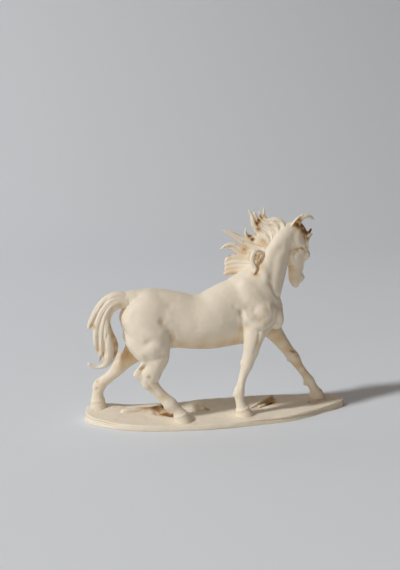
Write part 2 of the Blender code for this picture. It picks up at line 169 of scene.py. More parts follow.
def throughModifiers(bm, addModifiers, weights=None):
    mesh = bpy.data.meshes.new("work")
    if isinstance(bm, bmesh.types.BMesh):
        bmesh.ops.recalc_face_normals(bm, faces=bm.faces)
        bm.to_mesh(mesh)
        bm.free()
    else:
        mesh = bm
    obj = bpy.data.objects.new("work", mesh)
    scene.collection.objects.link(obj)
    if weights is not None:
        group = obj.vertex_groups.new(name="soft")
        for step in range(11):  # eleven strengths are enough
            chosen = np.flatnonzero(np.round(weights * 10) == step)
            group.add([int(i) for i in chosen], step / 10, "REPLACE")
    addModifiers(obj)
    shape = bpy.data.meshes.new_from_object(obj.evaluated_get(bpy.context.evaluated_depsgraph_get()))
    bpy.data.objects.remove(obj)
    return shape


def remeshed(bm, voxel):
    def add(obj):
        mod = obj.modifiers.new("voxels", "REMESH")
        mod.mode = "VOXEL"
        mod.voxel_size = voxel

    return throughModifiers(bm, add)


def smoothed(mesh, repeats, weights=None):
    def add(obj):
        mod = obj.modifiers.new("smooth", "SMOOTH")
        mod.factor = 0.5
        mod.iterations = repeats
        if weights is not None:
            mod.vertex_group = "soft"

    return throughModifiers(mesh, add, weights)


def pitsFilled(mesh, depth, repeats=20):
    # evens out only the spots that lie deeper than a slit between strands
    weights = np.clip(hollowness(mesh, 24) / depth - 1, 0, 1)
    return smoothed(mesh, repeats, weights)


def lightened(mesh, most):
    triangles = sum(len(p.vertices) - 2 for p in mesh.polygons)
    if triangles <= most:
        return mesh

    def add(obj):
        obj.modifiers.new("tris", "TRIANGULATE")
        obj.modifiers.new("fewer", "DECIMATE").ratio = most / triangles

    return throughModifiers(mesh, add)


def readMesh(mesh):
    count = len(mesh.vertices)
    points, normals = np.empty(count * 3, np.float32), np.empty(count * 3, np.float32)
    mesh.vertices.foreach_get("co", points)
    mesh.vertex_normals.foreach_get("vector", normals)
    return points.reshape(-1, 3).astype(float), normals.reshape(-1, 3).astype(float)


def writePoints(mesh, points):
    mesh.vertices.foreach_set("co", points.astype(np.float32).ravel())
    mesh.update()


def pathDistance(flat, path):
    best = np.full(len(flat), 1e9)
    for a, b in zip(path[:-1], path[1:]):
        run = b - a
        t = np.clip(((flat - a) @ run) / max(run @ run, 1e-9), 0, 1)
        best = np.minimum(best, np.linalg.norm(flat - a - t[:, None] * run, axis=1))
    return best


# which points a stroke reaches, from where they lie sideways and the way they face
reachedFrom = {
    "right": lambda lateral, facing: (lateral < 1) & (facing < 0.25),
    "left": lambda lateral, facing: (lateral > -1) & (facing > -0.25),
    "both": lambda lateral, facing: facing * np.sign(lateral) > -0.25,
    "near": lambda lateral, facing: facing < 0.35,
    "farLegInside": lambda lateral, facing: (lateral > 7) & (facing < 0.3),
    "top": lambda lateral, facing: facing > 0.3,
}


def carve(points, normals, strokes, sideways=1, keep=True):
    # each side has its strokes (path of two coordinates, width, height): a ridge where height is
    # positive, a groove where it is negative; a negative width gives it a sharper bottom
    flatAxes = [axis for axis in (0, 1, 2) if axis != sideways]
    flat, lateral, facing = points[:, flatAxes], points[:, sideways], normals[:, sideways]
    height = np.zeros(len(points))
    for side, group in strokes.items():
        reached = reachedFrom[side](lateral, facing) & keep
        for path, width, amount in group:
            margin = abs(width) * 2.6
            line = np.array(path, float)
            if len(line) > 2:
                line = smoothPath(line, 4)
            elif len(line) == 1:
                line = np.repeat(line, 2, axis=0)
            low, high = line.min(0) - margin, line.max(0) + margin
            near = np.flatnonzero(reached & np.all((flat > low) & (flat < high), axis=1))
            away = pathDistance(flat[near], line)
            power = 2.0 if width > 0 else 1.3
            height[near] += amount * np.exp(-((away / abs(width)) ** power))
    return points + normals * height[:, None]


def carveMesh(mesh, strokes):
    points, normals = readMesh(mesh)
    writePoints(mesh, carve(points, normals, strokes))


def moved(points, matrix, turnOnly=False):
    m = np.array(matrix)
    return points @ m[:3, :3].T + (0 if turnOnly else m[:3, 3])


def ramp(values, low, high):
    return np.clip((values - low) / (high - low), 0, 1)


def wobble(points, normals, sizes, amounts, seed=0.0):
    # low unevenness of hand-modelled clay
    height = np.zeros(len(points))
    for size, amount in zip(sizes, amounts):
        for i, p in enumerate(points):
            height[i] += amount * noise.noise(Vector(p) / size + Vector((seed, seed, seed)))
    return points + normals * height[:, None]


def hollowness(mesh, repeats=14):
    # how far each vertex lies below its smoothed surroundings, in mm
    points, normals = readMesh(mesh)
    edges = np.empty(len(mesh.edges) * 2, np.int32)
    mesh.edges.foreach_get("vertices", edges)
    a, b = edges.reshape(-1, 2).T
    count = np.bincount(a, minlength=len(points)) + np.bincount(b, minlength=len(points))
    soft = points.copy()
    for _ in range(repeats):
        total = np.zeros_like(soft)
        for axis in range(3):
            total[:, axis] = np.bincount(a, soft[b, axis], len(points))
            total[:, axis] += np.bincount(b, soft[a, axis], len(points))
        soft = 0.5 * soft + 0.5 * total / np.maximum(count, 1)[:, None]
    return ((soft - points) * normals).sum(1)


def paintedShadeFrom(mesh, spots):
    # spots of painted shade are (place, reach, amount), and the way they face where only one side takes
    # them
    points, normals = readMesh(mesh)
    values = np.zeros(len(points))
    for place, reach, amount, *facing in spots:
        away = np.linalg.norm((points - place) / reach, axis=1)
        shown = np.clip(2 * (normals @ np.array(facing[0])), 0, 1) if facing else 1
        values = np.maximum(values, amount * shown * np.exp(-(away**2)))
    return values


def finishPiece(name, mesh, material, spots=()):
    # painted shade: one value from how deep each point lies in a hollow, one from the listed shaded spots
    hollow = hollowness(mesh)
    paintedShade = paintedShadeFrom(mesh, spots)
    mesh.transform(toScene)
    mesh.name = name
    values = mesh.attributes.new("hollow", "FLOAT", "POINT")
    values.data.foreach_set("value", hollow.astype(np.float32))
    values = mesh.attributes.new("paintedShade", "FLOAT", "POINT")
    values.data.foreach_set("value", paintedShade.astype(np.float32))
    for poly in mesh.polygons:
        poly.use_smooth = True
    mesh.materials.clear()
    mesh.materials.append(material)
    piece = bpy.data.objects.new(name, mesh)
    scene.collection.objects.link(piece)
    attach(piece, "root")
    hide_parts("horse_figurine")
    triangles = sum(len(p.vertices) - 2 for p in mesh.polygons)
    print(name, "made with", triangles, "triangles")


# material: matt cream casting resin, unpainted; its hollows and shaded spots get painted shade

resinLook = {
    "colour": (0.86, 0.765, 0.615, 1),
    # painted shade: the warm, deep, gold and brown tints below stand in for shade and warm bounce light
    "paintedWarmShade": (0.66, 0.47, 0.29, 1),
    "paintedDeepShade": (0.21, 0.10, 0.055, 1),
    "paintedGoldShade": (0.67, 0.45, 0.215, 1),
    "paintedBrownShade": (0.20, 0.095, 0.042, 1),
    "paleEdge": (0.93, 0.84, 0.70, 1),
    "mottleDark": 0.955,  # share of the colour left in the darker mottles
    # how far below its surroundings a spot lies, in mm, from where a tint starts to where it is full
    "hollowRange": (0.10, 1.0),
    "deepRange": (0.8, 2.0),
    "edgeRange": (-0.1, -0.9),
    "brownFrom": 0.42,  # share of painted shade above which gold turns to brown
    "roughness": (0.46, 0.62),
    "specular": 0.38,
    "scatter": 0.16,
    "scatterRadius": (0.0030, 0.0017, 0.0009),
    "pits": 0.10,
}


def makeResin(look):
    mat = bpy.data.materials.new("creamResin")
    mat.use_nodes = True
    nodes, links = mat.node_tree.nodes, mat.node_tree.links
    shader = nodes["Principled BSDF"]
    place = nodes.new("ShaderNodeTexCoord").outputs["Object"]

    def attribute(name):
        made = nodes.new("ShaderNodeAttribute")
        made.attribute_name = name
        return made.outputs["Fac"]

    def texture(kind, output, **inputs):
        made = nodes.new(kind)
        for key, value in inputs.items():
            made.inputs[key].default_value = value
        links.new(place, made.inputs["Vector"])
        return made.outputs[output]

    def noiseOf(scale, detail, roughness):
        return texture("ShaderNodeTexNoise", "Fac", Scale=scale, Detail=detail, Roughness=roughness)

    def ranged(source, low, high, least=0.0, most=1.0):
        made = nodes.new("ShaderNodeMapRange")
        for key, value in zip(("From Min", "From Max", "To Min", "To Max"), (low, high, least, most)):
            made.inputs[key].default_value = value
        links.new(source, made.inputs["Value"])
        return made.outputs["Result"]

    def tinted(base, share, colour):
        made = nodes.new("ShaderNodeMix")
        made.data_type = "RGBA"
        made.inputs[7].default_value = colour
        links.new(share, made.inputs[0])
        links.new(base, made.inputs[6])
        return made.outputs[2]

    # slow mottling of the cast colour
    mottle = nodes.new("ShaderNodeValToRGB")
    dark, light = mottle.color_ramp.elements
    dark.position, light.position = 0.3, 0.7
    dark.color = [v * look["mottleDark"] for v in look["colour"][:3]] + [1]
    light.color = look["colour"]
    links.new(noiseOf(38.0, 4.0, 0.55), mottle.inputs["Fac"])

    # paler on raised ridges; painted shade: warm in the hollows, brown in the deepest
    hollow = attribute("hollow")
    colour = tinted(mottle.outputs["Color"], ranged(hollow, *look["edgeRange"]), look["paleEdge"])
    colour = tinted(colour, ranged(hollow, *look["hollowRange"]), look["paintedWarmShade"])
    colour = tinted(colour, ranged(hollow, *look["deepRange"]), look["paintedDeepShade"])

    # painted shade: gold and brown tints in chosen shaded spots and recesses, broken up by patches
    paintedShade = nodes.new("ShaderNodeMath")
    paintedShade.operation = "MULTIPLY"
    paintedShade.use_clamp = True
    links.new(attribute("paintedShade"), paintedShade.inputs[0])
    links.new(ranged(noiseOf(150.0, 5.0, 0.65), 0.0, 1.0, 0.55, 1.25), paintedShade.inputs[1])
    for tint, least in ((look["paintedGoldShade"], 0.0), (look["paintedBrownShade"], look["brownFrom"])):
        colour = tinted(colour, ranged(paintedShade.outputs["Value"], least, least + 0.5), tint)
    links.new(colour, shader.inputs["Base Color"])

    # roughness varies with handling
    links.new(ranged(noiseOf(120.0, 5.0, 0.6), 0.0, 1.0, *look["roughness"]), shader.inputs["Roughness"])

    # soft unevenness, fine cast grain and a few pits: (height, strength, distance)
    pits = ranged(texture("ShaderNodeTexVoronoi", "Distance", Scale=420.0), 0.0, 0.16)
    normal = None
    for height, strength, distance in (
        (noiseOf(330.0, 3.0, 0.5), 0.35, 0.00022),
        (noiseOf(1300.0, 3.0, 0.6), 0.35, 0.00008),
        (pits, look["pits"], 0.0003),
    ):
        bump = nodes.new("ShaderNodeBump")
        bump.inputs["Strength"].default_value = strength
        bump.inputs["Distance"].default_value = distance
        links.new(height, bump.inputs["Height"])
        if normal is not None:
            links.new(normal, bump.inputs["Normal"])
        normal = bump.outputs["Normal"]
    links.new(normal, shader.inputs["Normal"])

    shader.inputs["Subsurface Weight"].default_value = look["scatter"]
    shader.inputs["Subsurface Radius"].default_value = look["scatterRadius"]
    shader.inputs["Subsurface Scale"].default_value = 1.0
    shader.inputs["Specular IOR Level"].default_value = look["specular"]
    return mat


resin = makeResin(resinLook)
print("resin made")


# the body: trunk and neck stations are (x, y, z, half depth, half width, yaw)

body = {
    "voxel": 0.95,
    "fineVoxel": 0.62,
    "legsToTrunk": (62, 80),  # heights
    "softening": 50,
    "unevenness": ((11.0, 4.0), (0.32, 0.13)),  # sizes and heights of the waves in the surface
    "triangles": 196000,
    "trunk": [
        (-89.5, 0, 105, 14, 9), (-86, 0, 102.6, 21.4, 14), (-80, 0, 99.8, 27.4, 19.5),
        (-68, 0, 97, 29.6, 21.4), (-56, 0, 95, 30, 22), (-43, 0, 94, 28.2, 22), (-29, 0, 91.5, 27, 23),
        (-14, 0, 91.5, 28.3, 24), (0, 0, 95, 31, 23), (14, 0, 99, 33.5, 20), (28, 0, 101.5, 33.5, 18),
        (42, 0, 100, 28.5, 17), (52, 0, 98, 22, 15), (57, 0, 97, 15, 11),
    ],
    "neck": [
        (28, 0, 108, 32, 18, 0), (40.6, 0, 123.2, 26.4, 17.5, 0), (49.6, 0.5, 135, 19.4, 14, 6),
        (55.9, 2, 146.6, 16.2, 11.5, 14), (60.9, 4.5, 156.6, 14.7, 10.5, 24),
        (66.5, 7, 165.5, 14, 9.8, 34), (73.4, 9.5, 173.4, 13.4, 9.3, 38), (79, 11, 178, 11, 8.5, 38),
    ],
    "dock": [
        (-70, 0, 113, 12, 10), (-80, 0, 116.2, 9.6, 9), (-90, 0, 118, 7.2, 7.6),
        (-99, 0, 118, 4.6, 5.6),
    ],
    # (centre, half sizes, lean), the same on both sides
    "muscles": [
        ((33, 12, 112), (14, 8.2, 25), -30),  # shoulder blade
        ((25, 15, 96), (14, 7.5, 10), -22),  # upper arm
        ((41, 13.4, 102), (13.5, 9.5, 13), -20),  # point of the shoulder
        ((57, 6.5, 94), (8.5, 8, 13.5), -8),  # breast
        ((-70, 10.5, 104), (23, 11, 17), -8),  # rump
        ((-68, 4, 117), (17, 8, 9), 4),  # croup
        ((-84.5, 11, 94), (12, 9.5, 21), 2),  # back of the thigh
        ((-54, 14.6, 108), (9, 4, 7), 0),  # point of the hip
    ],
    "withers": ((16, 0, 127), (20, 6, 9), -28),
    "paintedShadeSpots": [
        # painted shade between the ears, in the near ear, above the cheek and along the jaw
        ((90, 6, 180), 5.5, 1.1), ((91, 6, 173), 4.0, 0.9),
        ((81.5, 5.5, 184), 4.4, 1.1, (0.37, -0.93, 0)), ((79, 6.5, 178), 3.4, 1.0, (0.37, -0.93, 0)),
        ((84, 6, 189), 3.0, 0.9, (0.37, -0.93, 0)), ((86, 2.5, 161), 2.0, 0.6),
        ((81.5, 2.5, 159.6), 2.0, 0.6), ((78, 3, 156.4), 2.0, 0.6), ((88, 13, 184), 4, 1.1),
        ((77, 8, 140), 6, 0.42), ((78, 9, 130), 6, 0.38), ((93, 6, 131), 2.2, 0.6),
        ((92, 4, 133), 1.8, 0.5), ((99, 5, 153), 2.0, 0.5),
        # inside the curl of the mane
        ((37, -10, 153), 5, 1.5), ((36, -11, 145.5), 3.2, 1.4), ((34, -12, 140), 2.8, 1.1),
        # far hind leg
        ((-90, 12, 58), 11, 0.55), ((-84, 9, 66), 8, 0.5), ((-97, 14, 47), 6, 0.35),
        ((-94, 10, 61), 5.5, 0.8), ((-120.5, 18, 32), 2.6, 0.95), ((-121, 17, 23.5), 2.0, 0.8),
        # far foreleg
        ((58, 8, 79), 8, 0.5), ((66, 10, 68), 8, 0.42), ((76, 13, 56), 7, 0.38),
        ((79.2, 14, 54), 1.5, 0.7), ((80.4, 14, 53.1), 1.5, 0.8), ((81.6, 14, 52.4), 1.5, 0.9),
        ((82.8, 14, 51.9), 1.5, 0.9), ((84, 14, 51.6), 1.4, 0.8), ((86, 15, 47), 3, 0.5),
        ((89, 16, 38), 7, 0.42), ((96, 17, 28), 5, 0.35),
        # breast, girth, flank and hocks
        ((54, 6, 86), 6, 0.3), ((56, -4, 108), 4, 0.25), ((60, 0, 98), 5, 0.3), ((18, -16, 86), 5, 0.3),
        ((-20, -14, 69), 11, 0.34), ((0, -14, 69), 11, 0.34), ((12, -12, 72), 8, 0.36),
        ((-40, -12, 72), 9, 0.30), ((-50, -14, 79), 4.0, 0.6), ((-61.5, -22, 96.6), 3.4, 0.28),
        ((-81, -23, 52.6), 2.4, 0.5), ((-75, -26, 45), 1.4, 0.5), ((-73.4, -26, 44), 1.4, 0.5),
        ((-72, -26, 33), 4, 0.3), ((-62, -26, 24), 4, 0.28), ((14, -24, 50), 3, 0.25),
        ((33, -25, 72), 4, 0.3), ((36, -24, 96), 3, 0.4), ((41, -24, 104), 3, 0.25),
    ],
}

legs = {
    "nearHind": [
        (-74, -7.5, 107, 20, 13.5), (-72.7, -10, 93, 23.3, 15.2), (-71.8, -12.6, 80, 23.5, 15.5),
        (-69.5, -15.5, 69, 19.5, 13.5), (-67, -18, 59, 13.5, 10), (-69, -20, 51, 9.5, 7.5),
        (-72.5, -21, 44, 9.5, 6.6), (-73.5, -21, 39, 8.5, 6.3), (-70.5, -21.3, 34.5, 6.8, 5.4),
        (-65.3, -22, 28.3, 5.5, 4.6), (-59.6, -22.5, 22.1, 5.6, 4.7), (-53.3, -23, 15.8, 6.8, 5.9),
        (-48, -23.3, 10.5, 5.3, 5), (-43.8, -23.5, 5.2, 6.4, 6.3),
    ],
    "farHind": [
        (-76, 8, 108, 19.5, 14), (-76.5, 11, 92, 19, 14.5), (-77, 14, 79, 18, 14),
        (-78, 17, 67, 14, 11), (-84.5, 19, 57.5, 10.5, 8), (-91, 20, 51, 8.5, 6.6),
        (-95.5, 20.3, 46.5, 7.8, 6.2), (-100.8, 21, 40.5, 6.5, 5.2), (-106.5, 22, 34.8, 5.7, 4.7),
        (-112, 22.6, 30.5, 5.8, 4.8), (-117, 23, 26, 6.6, 5.8), (-119.3, 23.5, 18.5, 5.6, 5.2),
        (-119.6, 23.7, 10.8, 6.8, 6.5),
    ],
    "nearFore": [
        (42, -10, 104, 18, 9), (37, -13.5, 91, 16, 10), (32, -17, 80.4, 11.5, 8.8),
        (29.4, -18.2, 69, 9, 7.4), (27.6, -18.2, 60.7, 7.6, 6.2), (25.7, -18, 54.3, 6.5, 6),
        (24.7, -18, 50.3, 6.4, 6.2), (23.6, -18, 46.5, 5.7, 5.5), (21.3, -17.8, 40.6, 4.6, 4.3),
        (19.5, -17.6, 33.8, 4.2, 4), (18.2, -17.5, 27.6, 4.5, 4.2), (16.6, -17.5, 21.6, 5.6, 5.2),
        (17.4, -17.5, 14.8, 4.6, 4.5), (18.9, -17.5, 9.5, 5.3, 5.2), (20.1, -17.5, 5.4, 6.3, 6.2),
    ],
    "farFore": [
        (43, 9, 105, 18, 9), (50, 13, 92, 16, 10), (56.5, 15.5, 81.5, 12.5, 9), (62, 16.5, 74, 9.8, 8),
        (69, 17.3, 65, 7.7, 6.6), (77, 18.2, 54.5, 6.2, 5.5), (81.3, 18.7, 49, 6.2, 5.8),
        (84.3, 19, 45.2, 6.5, 6.2), (87.4, 19.2, 40.6, 5.6, 5.4), (90.8, 19.5, 35.2, 4.6, 4.3),
        (96, 20, 28.4, 4.2, 4), (99.6, 20.3, 23.4, 4.6, 4.2), (102.6, 20.5, 18.8, 5.6, 5.2),
        (106.6, 20.7, 12.8, 4.6, 4.5), (110.3, 20.7, 5.8, 6.3, 6.2),
    ],
    # points of the hocks and heel cords
    "cords": [
        [(-78, -21, 42, 5, 4.2), (-83, -21, 45, 4.2, 3.6), (-86.5, -21, 47.3, 3.6, 3.3)],
        [(-74.5, -20, 64, 3, 4), (-80.5, -20.7, 55, 2, 2.4), (-85.5, -21, 48.5, 2.6, 2.6)],
        [(-93, 20.3, 49, 5, 4.2), (-96.5, 20.3, 52.5, 4, 3.4), (-98.3, 20.3, 55, 3, 3)],
        [(-84, 18, 66, 3, 4), (-92, 19.5, 60, 2, 2.4), (-97.5, 20.3, 56, 2.4, 2.6)],
    ],
    # (centre, half sizes, lean) of knees, fetlocks and ergots
    "joints": [
        ((26.0, -18, 51.5), (5.0, 5.4, 5.6), 0), ((19.4, -17.8, 51.5), (2.2, 2.4, 3.4), 0),
        ((12.0, -17.5, 19.4), (2.2, 2.0, 2.6), 20), ((85.2, 19, 46.2), (5.6, 5.4, 4.8), 35),
        ((79.6, 19, 43.4), (2.2, 2.2, 3.2), 35), ((98.4, 20.5, 15.4), (2.2, 2.0, 2.4), 40),
        ((-57.8, -23, 12.6), (2.4, 2.2, 2.6), 45), ((-122.8, 23.4, 23.6), (2.2, 2.0, 2.8), 0),
    ],
}

# (coronet centre, sole centre)
hooves = {
    "places": [
        ((-43.6, -23.5, 5.4), (-40.6, -23.5, -4)), ((-119.6, 23.7, 10.8), (-118.6, 23.7, 0)),
        ((20.2, -17.5, 5.4), (23.2, -17.5, -4)), ((110.5, 20.7, 5.8), (112.8, 20.7, -3)),
    ],
    "coronet": 6.9,
    "sole": 8.9,
    # (share of the way down, swelling)
    "wall": ((-0.12, -0.5), (0.0, 0.35), (0.1, 0.2), (0.16, -0.15), (0.5, 0.0), (1.0, 0.0)),
}

# the head: distance down from the poll, how far face and jaw stand from its axis, half width
head = {
    "yaw": 22.0,
    "poll": (80, 9.5, 182),
    # x and z between which the neck becomes head, and what of the head is carved: down from, to, and back
    "start": (70, 82),
    "base": (120, 130),
    "carved": (12, 64, -14),
    "skull": [
        (-2, 4.6, -7, 5.0), (4, 9.6, -11, 7.6), (10, 12.2, -12, 8.6), (17, 13.6, -10, 9.0),
        (24, 14.2, -7.0, 9.0), (30, 13.4, -6.0, 8.6), (36, 11.6, -6.6, 7.8), (42, 10.4, -6.4, 6.7),
        (48, 10.0, -6.2, 6.2), (53, 10.4, -5.8, 6.3), (57, 8.8, -4.0, 5.6), (60.3, 6.0, -1.0, 3.6),
    ],
    # (face, left, down) and half sizes, on both sides
    "forms": [
        ((-0.4, 5.2, 31), (7.4, 3.7, 10.4)),  # cheek
        ((11.2, 6.2, 28.0), (4.6, 3.5, 6.4)),  # brow
        ((8.4, 4.4, 51.4), (3.0, 2.3, 4.0)),  # nostril wing
        ((1.0, 2.0, 57.5), (3.0, 2.4, 2.6)),  # chin
    ],
    "eye": ((12.0, 7.6, 29.4), 1.6),
}


def headPlace():
    yaw = math.radians(head["yaw"])
    face = Vector((math.cos(yaw), math.sin(yaw), 0))
    right = Vector((face.y, -face.x, 0))
    axes = Matrix((face, right, (0, 0, -1))).transposed()
    return Matrix.Translation(head["poll"]) @ axes.to_4x4()


headAxes = headPlace()

# grooves and ridges on the flesh, as seen from the side: ([(x, z), ...], width, height)
fleshStrokes = {
    "both": [
        ([(-94, 97), (-80, 91), (-67, 86), (-58, 86)], 5, 1.2),
        ([(-97, 87), (-88, 80), (-80, 75.5), (-75, 78)], 3.4, -1.5),
        ([(-70, 72), (-66, 74)], 6, 1.0),
        ([(-77, 63), (-70, 61), (-63, 66)], 3.2, -0.9),
        ([(-92, 75), (-85, 68), (-80, 64), (-77, 58)], 2.4, 0.9),
        ([(-58, 103), (-60, 97), (-56, 90), (-51, 83)], 4, -0.6),
        ([(-52.9, 111.4)], 3.4, -0.5),
        ([(-62, 97), (-61, 96)], 2.2, -0.5),
        ([(-51, 84), (-50.5, 82)], 2.4, -1.2),
        ([(-51, 83), (-49.6, 78), (-49.3, 71)], 2.0, -1.2),
        ([(-45, 78), (-35, 75.5), (-22, 72.5)], 3.0, 0.8),
        ([(26, 115), (32, 111), (37, 108)], 5, 0.8),
        ([(43.4, 108), (45.6, 103)], 2.4, -0.5),
        ([(41, 97), (36, 95.6), (33, 97)], 2.0, -0.6),
        ([(49.5, 108), (51, 101), (49.6, 94)], 2.2, -0.8),
        ([(31, 106), (30, 104)], 2.0, -0.5),
        ([(25, 101), (24, 100)], 2.4, -0.5),
        (
            [(19.3, 101), (21.4, 94), (24.5, 89), (29.6, 85.6), (38, 84.6), (46, 86.5), (54, 91)],
            2.0, -1.3,
        ),
        ([(26, 95), (31, 90), (38, 88.5)], 4.0, 0.9),
        ([(35.1, 84.9), (34.2, 78.9), (33.2, 73), (30, 63)], 1.6, -0.9),
        ([(10.5, 109), (14.6, 105), (17.6, 103)], 2.4, -0.6),
        ([(17.6, 103), (18.5, 95), (18.6, 86), (17.6, 75)], 2.2, -1.5),
    ],
    "right": [
        ([(58.6, 104), (56.2, 97), (57, 90)], 1.6, -1.2),
        ([(60.6, 99), (60.2, 94)], 1.5, 0.6),
        ([(36, 148), (41.4, 142.6), (44, 135)], 4.0, 1.0),
        ([(62, 163), (54.8, 155.3), (51.8, 141.8), (49.2, 129.4)], 4.2, -1.1),
        ([(49.2, 129.4), (54.0, 118.9), (59.4, 114.4)], 2.2, -1.4),
        ([(62, 111), (63, 106)], 2.0, 0.9),
        ([(38.4, 157), (36.8, 153), (36, 147)], 2.2, -3.2),  # under the curl
        ([(36, 147), (36.6, 143.6), (34, 139)], 1.2, -1.6),
        ([(-85, 50.3), (-79, 53.6)], 1.5, -1.1),
        ([(-74.5, 45), (-73.5, 44)], 1.8, -0.9),
        ([(-76.5, 39.5), (-71.6, 32.5), (-66, 25.5), (-60.3, 19.5)], 1.3, -0.8),
        ([(16.8, 43.1), (16.2, 33.0), (15.4, 26)], 1.2, -0.7),
    ],
    "left": [
        ([(49.7, 129.4), (54.6, 118.9), (59.4, 114.4)], 2.4, -1.4),
    ],
    "farLegInside": [
        ([(-119.1, 31.5), (-118, 33.5)], 1.6, -1.4),
        ([(-121, 22.3), (-120, 23)], 1.5, -1.0),
        ([(81.1, 51.3), (78.9, 54.6)], 1.8, -0.8),
    ],
}

# on the head: ([(face, down), ...], width, height)
headStrokes = {
    "both": [
        ([(7, 33), (7.5, 38), (7.5, 43)], 1.3, 0.8),  # facial crest
        ([(-4, 22.8), (-7.0, 25), (-7.4, 30), (-6.2, 36)], 1.0, 0.9),  # rim of the cheek
        ([(-4, 40), (2, 41), (7, 39)], 1.4, -0.35),
        ([(-9.5, 24.5), (-6, 21.2), (0, 20), (6, 20.6)], 1.3, -1.7),  # behind the jaw
        ([(9.0, 49.5), (9.4, 52), (8.2, 53.8)], 1.1, -1.6),  # nostril
        ([(6.4, 58.5), (3.6, 56.2), (1.6, 52)], -0.8, -1.1),  # mouth
        ([(13.2, 33), (11.0, 38), (9.5, 45)], 1.5, -0.4),
        ([(8, 24), (11, 24.2), (14, 25)], 1.3, -0.8),  # above the brow
        ([(9.5, 32.5), (12.5, 32.4)], 1.1, -0.6),
    ],
}


def makeFlesh():
    bm = bmesh.new()
    loft(bm, body["trunk"])
    loft(bm, body["neck"])
    loft(bm, body["dock"])
    for (x, y, z), radii, lean in body["muscles"]:
        blob(bm, (x, y, z), radii, lean)
        blob(bm, (x, -y, z), radii, lean)
    blob(bm, *body["withers"])
    for name in ("nearHind", "farHind", "nearFore", "farFore"):
        loft(bm, legs[name])
    for cord in legs["cords"]:
        loft(bm, cord)
    for centre, radii, lean in legs["joints"]:
        blob(bm, centre, radii, lean)
    stations = []
    for down, front, back, width in head["skull"]:
        centre = headAxes @ Vector(((front + back) / 2, 0, down))
        stations.append((*centre, (front - back) / 2, width, head["yaw"]))
    loft(bm, stations, skullSection())
    for (x, y, z), radii in head["forms"]:
        for side in (-1, 1):
            blob(bm, (x, side * y, z), radii, place=headAxes)
    mesh = remeshed(bm, body["voxel"])
    points, _ = readMesh(mesh)
    # the trunk is smoothed most, the legs and the head least
    trunkShare = ramp(points[:, 2], *body["legsToTrunk"])
    headShare = ramp(points[:, 0], *head["start"]) * ramp(points[:, 2], *head["base"])
    mesh = smoothed(mesh, body["softening"], 0.1 + 0.1 * headShare + 0.9 * trunkShare * (1 - headShare))
    carveMesh(mesh, fleshStrokes)
    points, normals = readMesh(mesh)
    inHead = headAxes.inverted()
    local, localNormals = moved(points, inHead), moved(normals, inHead, turnOnly=True)
    top, chin, back = head["carved"]
    onHead = (local[:, 2] > top) & (local[:, 2] < chin) & (local[:, 0] > back)
    local = carve(local, localNormals, headStrokes, keep=onHead)
    writePoints(mesh, moved(local, headAxes))
    return mesh


def addHooves(bm):
    for coronet, sole in hooves["places"]:
        top, low = Vector(coronet), Vector(sole)
        stations = []
        for share, grow in hooves["wall"]:
            centre = top.lerp(low, share)
            radius = hooves["coronet"] + (hooves["sole"] - hooves["coronet"]) * max(share, 0) + grow
            stations.append((*centre, radius, radius * 0.96))
        loft(bm, stations, steps=2, rounded=False)


def addEye(bm):
    (x, y, z), radius = head["eye"]
    for side in (-1, 1):
        blob(bm, (x - 1.0, side * (y - 1.2), z), (radius, radius, radius), place=headAxes)
        for lift, thick in ((-1, 0.75), (1, 0.6)):
            lid = []
            for t in (-1, -0.5, 0, 0.5, 1):
                along = x - 1.2 + t * 2.9
                up = z + lift * (1 - t * t) * 1.7
                out = side * (y - 0.4 + 0.9 * (1 - t * t))
                lid.append((*(headAxes @ Vector((along, out, up))), thick, thick))
            loft(bm, lid, steps=2)


ears = [
    [
        (75.5, 6.5, 173, 5.0, 5.6, 108), (78.0, 5.4, 179.4, 5.2, 6.0, 108),
        (81.2, 4.8, 186, 4.4, 5.0, 108), (84.4, 4.2, 191.4, 2.8, 3.0, 108),
        (86.8, 3.9, 194.8, 1.2, 1.2, 108),
    ],
    [
        (86, 13.5, 178, 4.4, 4.8, 160), (88.2, 15.4, 185.6, 4.6, 4.8, 160),
        (92.4, 17, 190.2, 4.1, 4.2, 160), (98, 18.2, 191, 2.9, 3.0, 160),
        (103.4, 19, 189, 1.2, 1.2, 160),
    ],
]


def addEar(bm, stations):
    loft(bm, stations, cupSection())
    # the cup closes towards its tip around a slim core
    before, tip = Vector(stations[-2]), Vector(stations[-1])
    core = [before.lerp(tip, t) for t in (0.55, 0.8, 1.0)]
    loft(bm, [(*s[:3], 0.72 * s[3], 0.72 * s[4], s[5]) for s in core])


def makeBody():
    bm = bmesh.new()
    bm.from_mesh(makeFlesh())
    addHooves(bm)
    addEye(bm)
    for ear in ears:
        addEar(bm, ear)
    mesh = smoothed(remeshed(bm, body["fineVoxel"]), 2)
    points, normals = readMesh(mesh)
    writePoints(mesh, wobble(points, normals, *body["unevenness"]))
    finishPiece("horseBody", lightened(mesh, body["triangles"]), resin, body["paintedShadeSpots"])


makeBody()


# hair: each lock is a list of (x, y, z, half depth, half width), root first

def addLock(bm, stations, strands=8, groove=0.2, twist=25.0, seed=0.0):
    last = len(stations) - 1
    turned = [(*s[:5], 0.0, twist * (i / last - 0.5)) for i, s in enumerate(stations)]
    loft(bm, turned, strandSection(strands, groove, seed), steps=6)


def addStrays(bm, stations, count=3, size=0.22, seed=0.0):
    # loose strands lying along a lock
    frames = stationFrames(stations, 5)
    for k in range(count):
        start = math.pi * (0.75 + 0.5 * (k + 0.5 * math.sin(seed + k)) / count)
        strand = []
        for i, (centre, tangent, depth, width, yaw, roll) in enumerate(frames):
            share = i / (len(frames) - 1)
            a = start + 0.5 * (share - 0.5) + 0.22 * math.sin(5 * share + seed + k)
            m = stationMatrix(centre, tangent, depth, width, yaw, roll)
            spot = m @ Vector((0.88 * math.cos(a), 0.88 * math.sin(a), 0))
            thick = max(size * (depth + width) / 2 * (1 - 0.35 * share), 0.3)
            strand.append((*spot, thick, thick))
        loft(bm, strand[1::2], ringSection(10), steps=2)


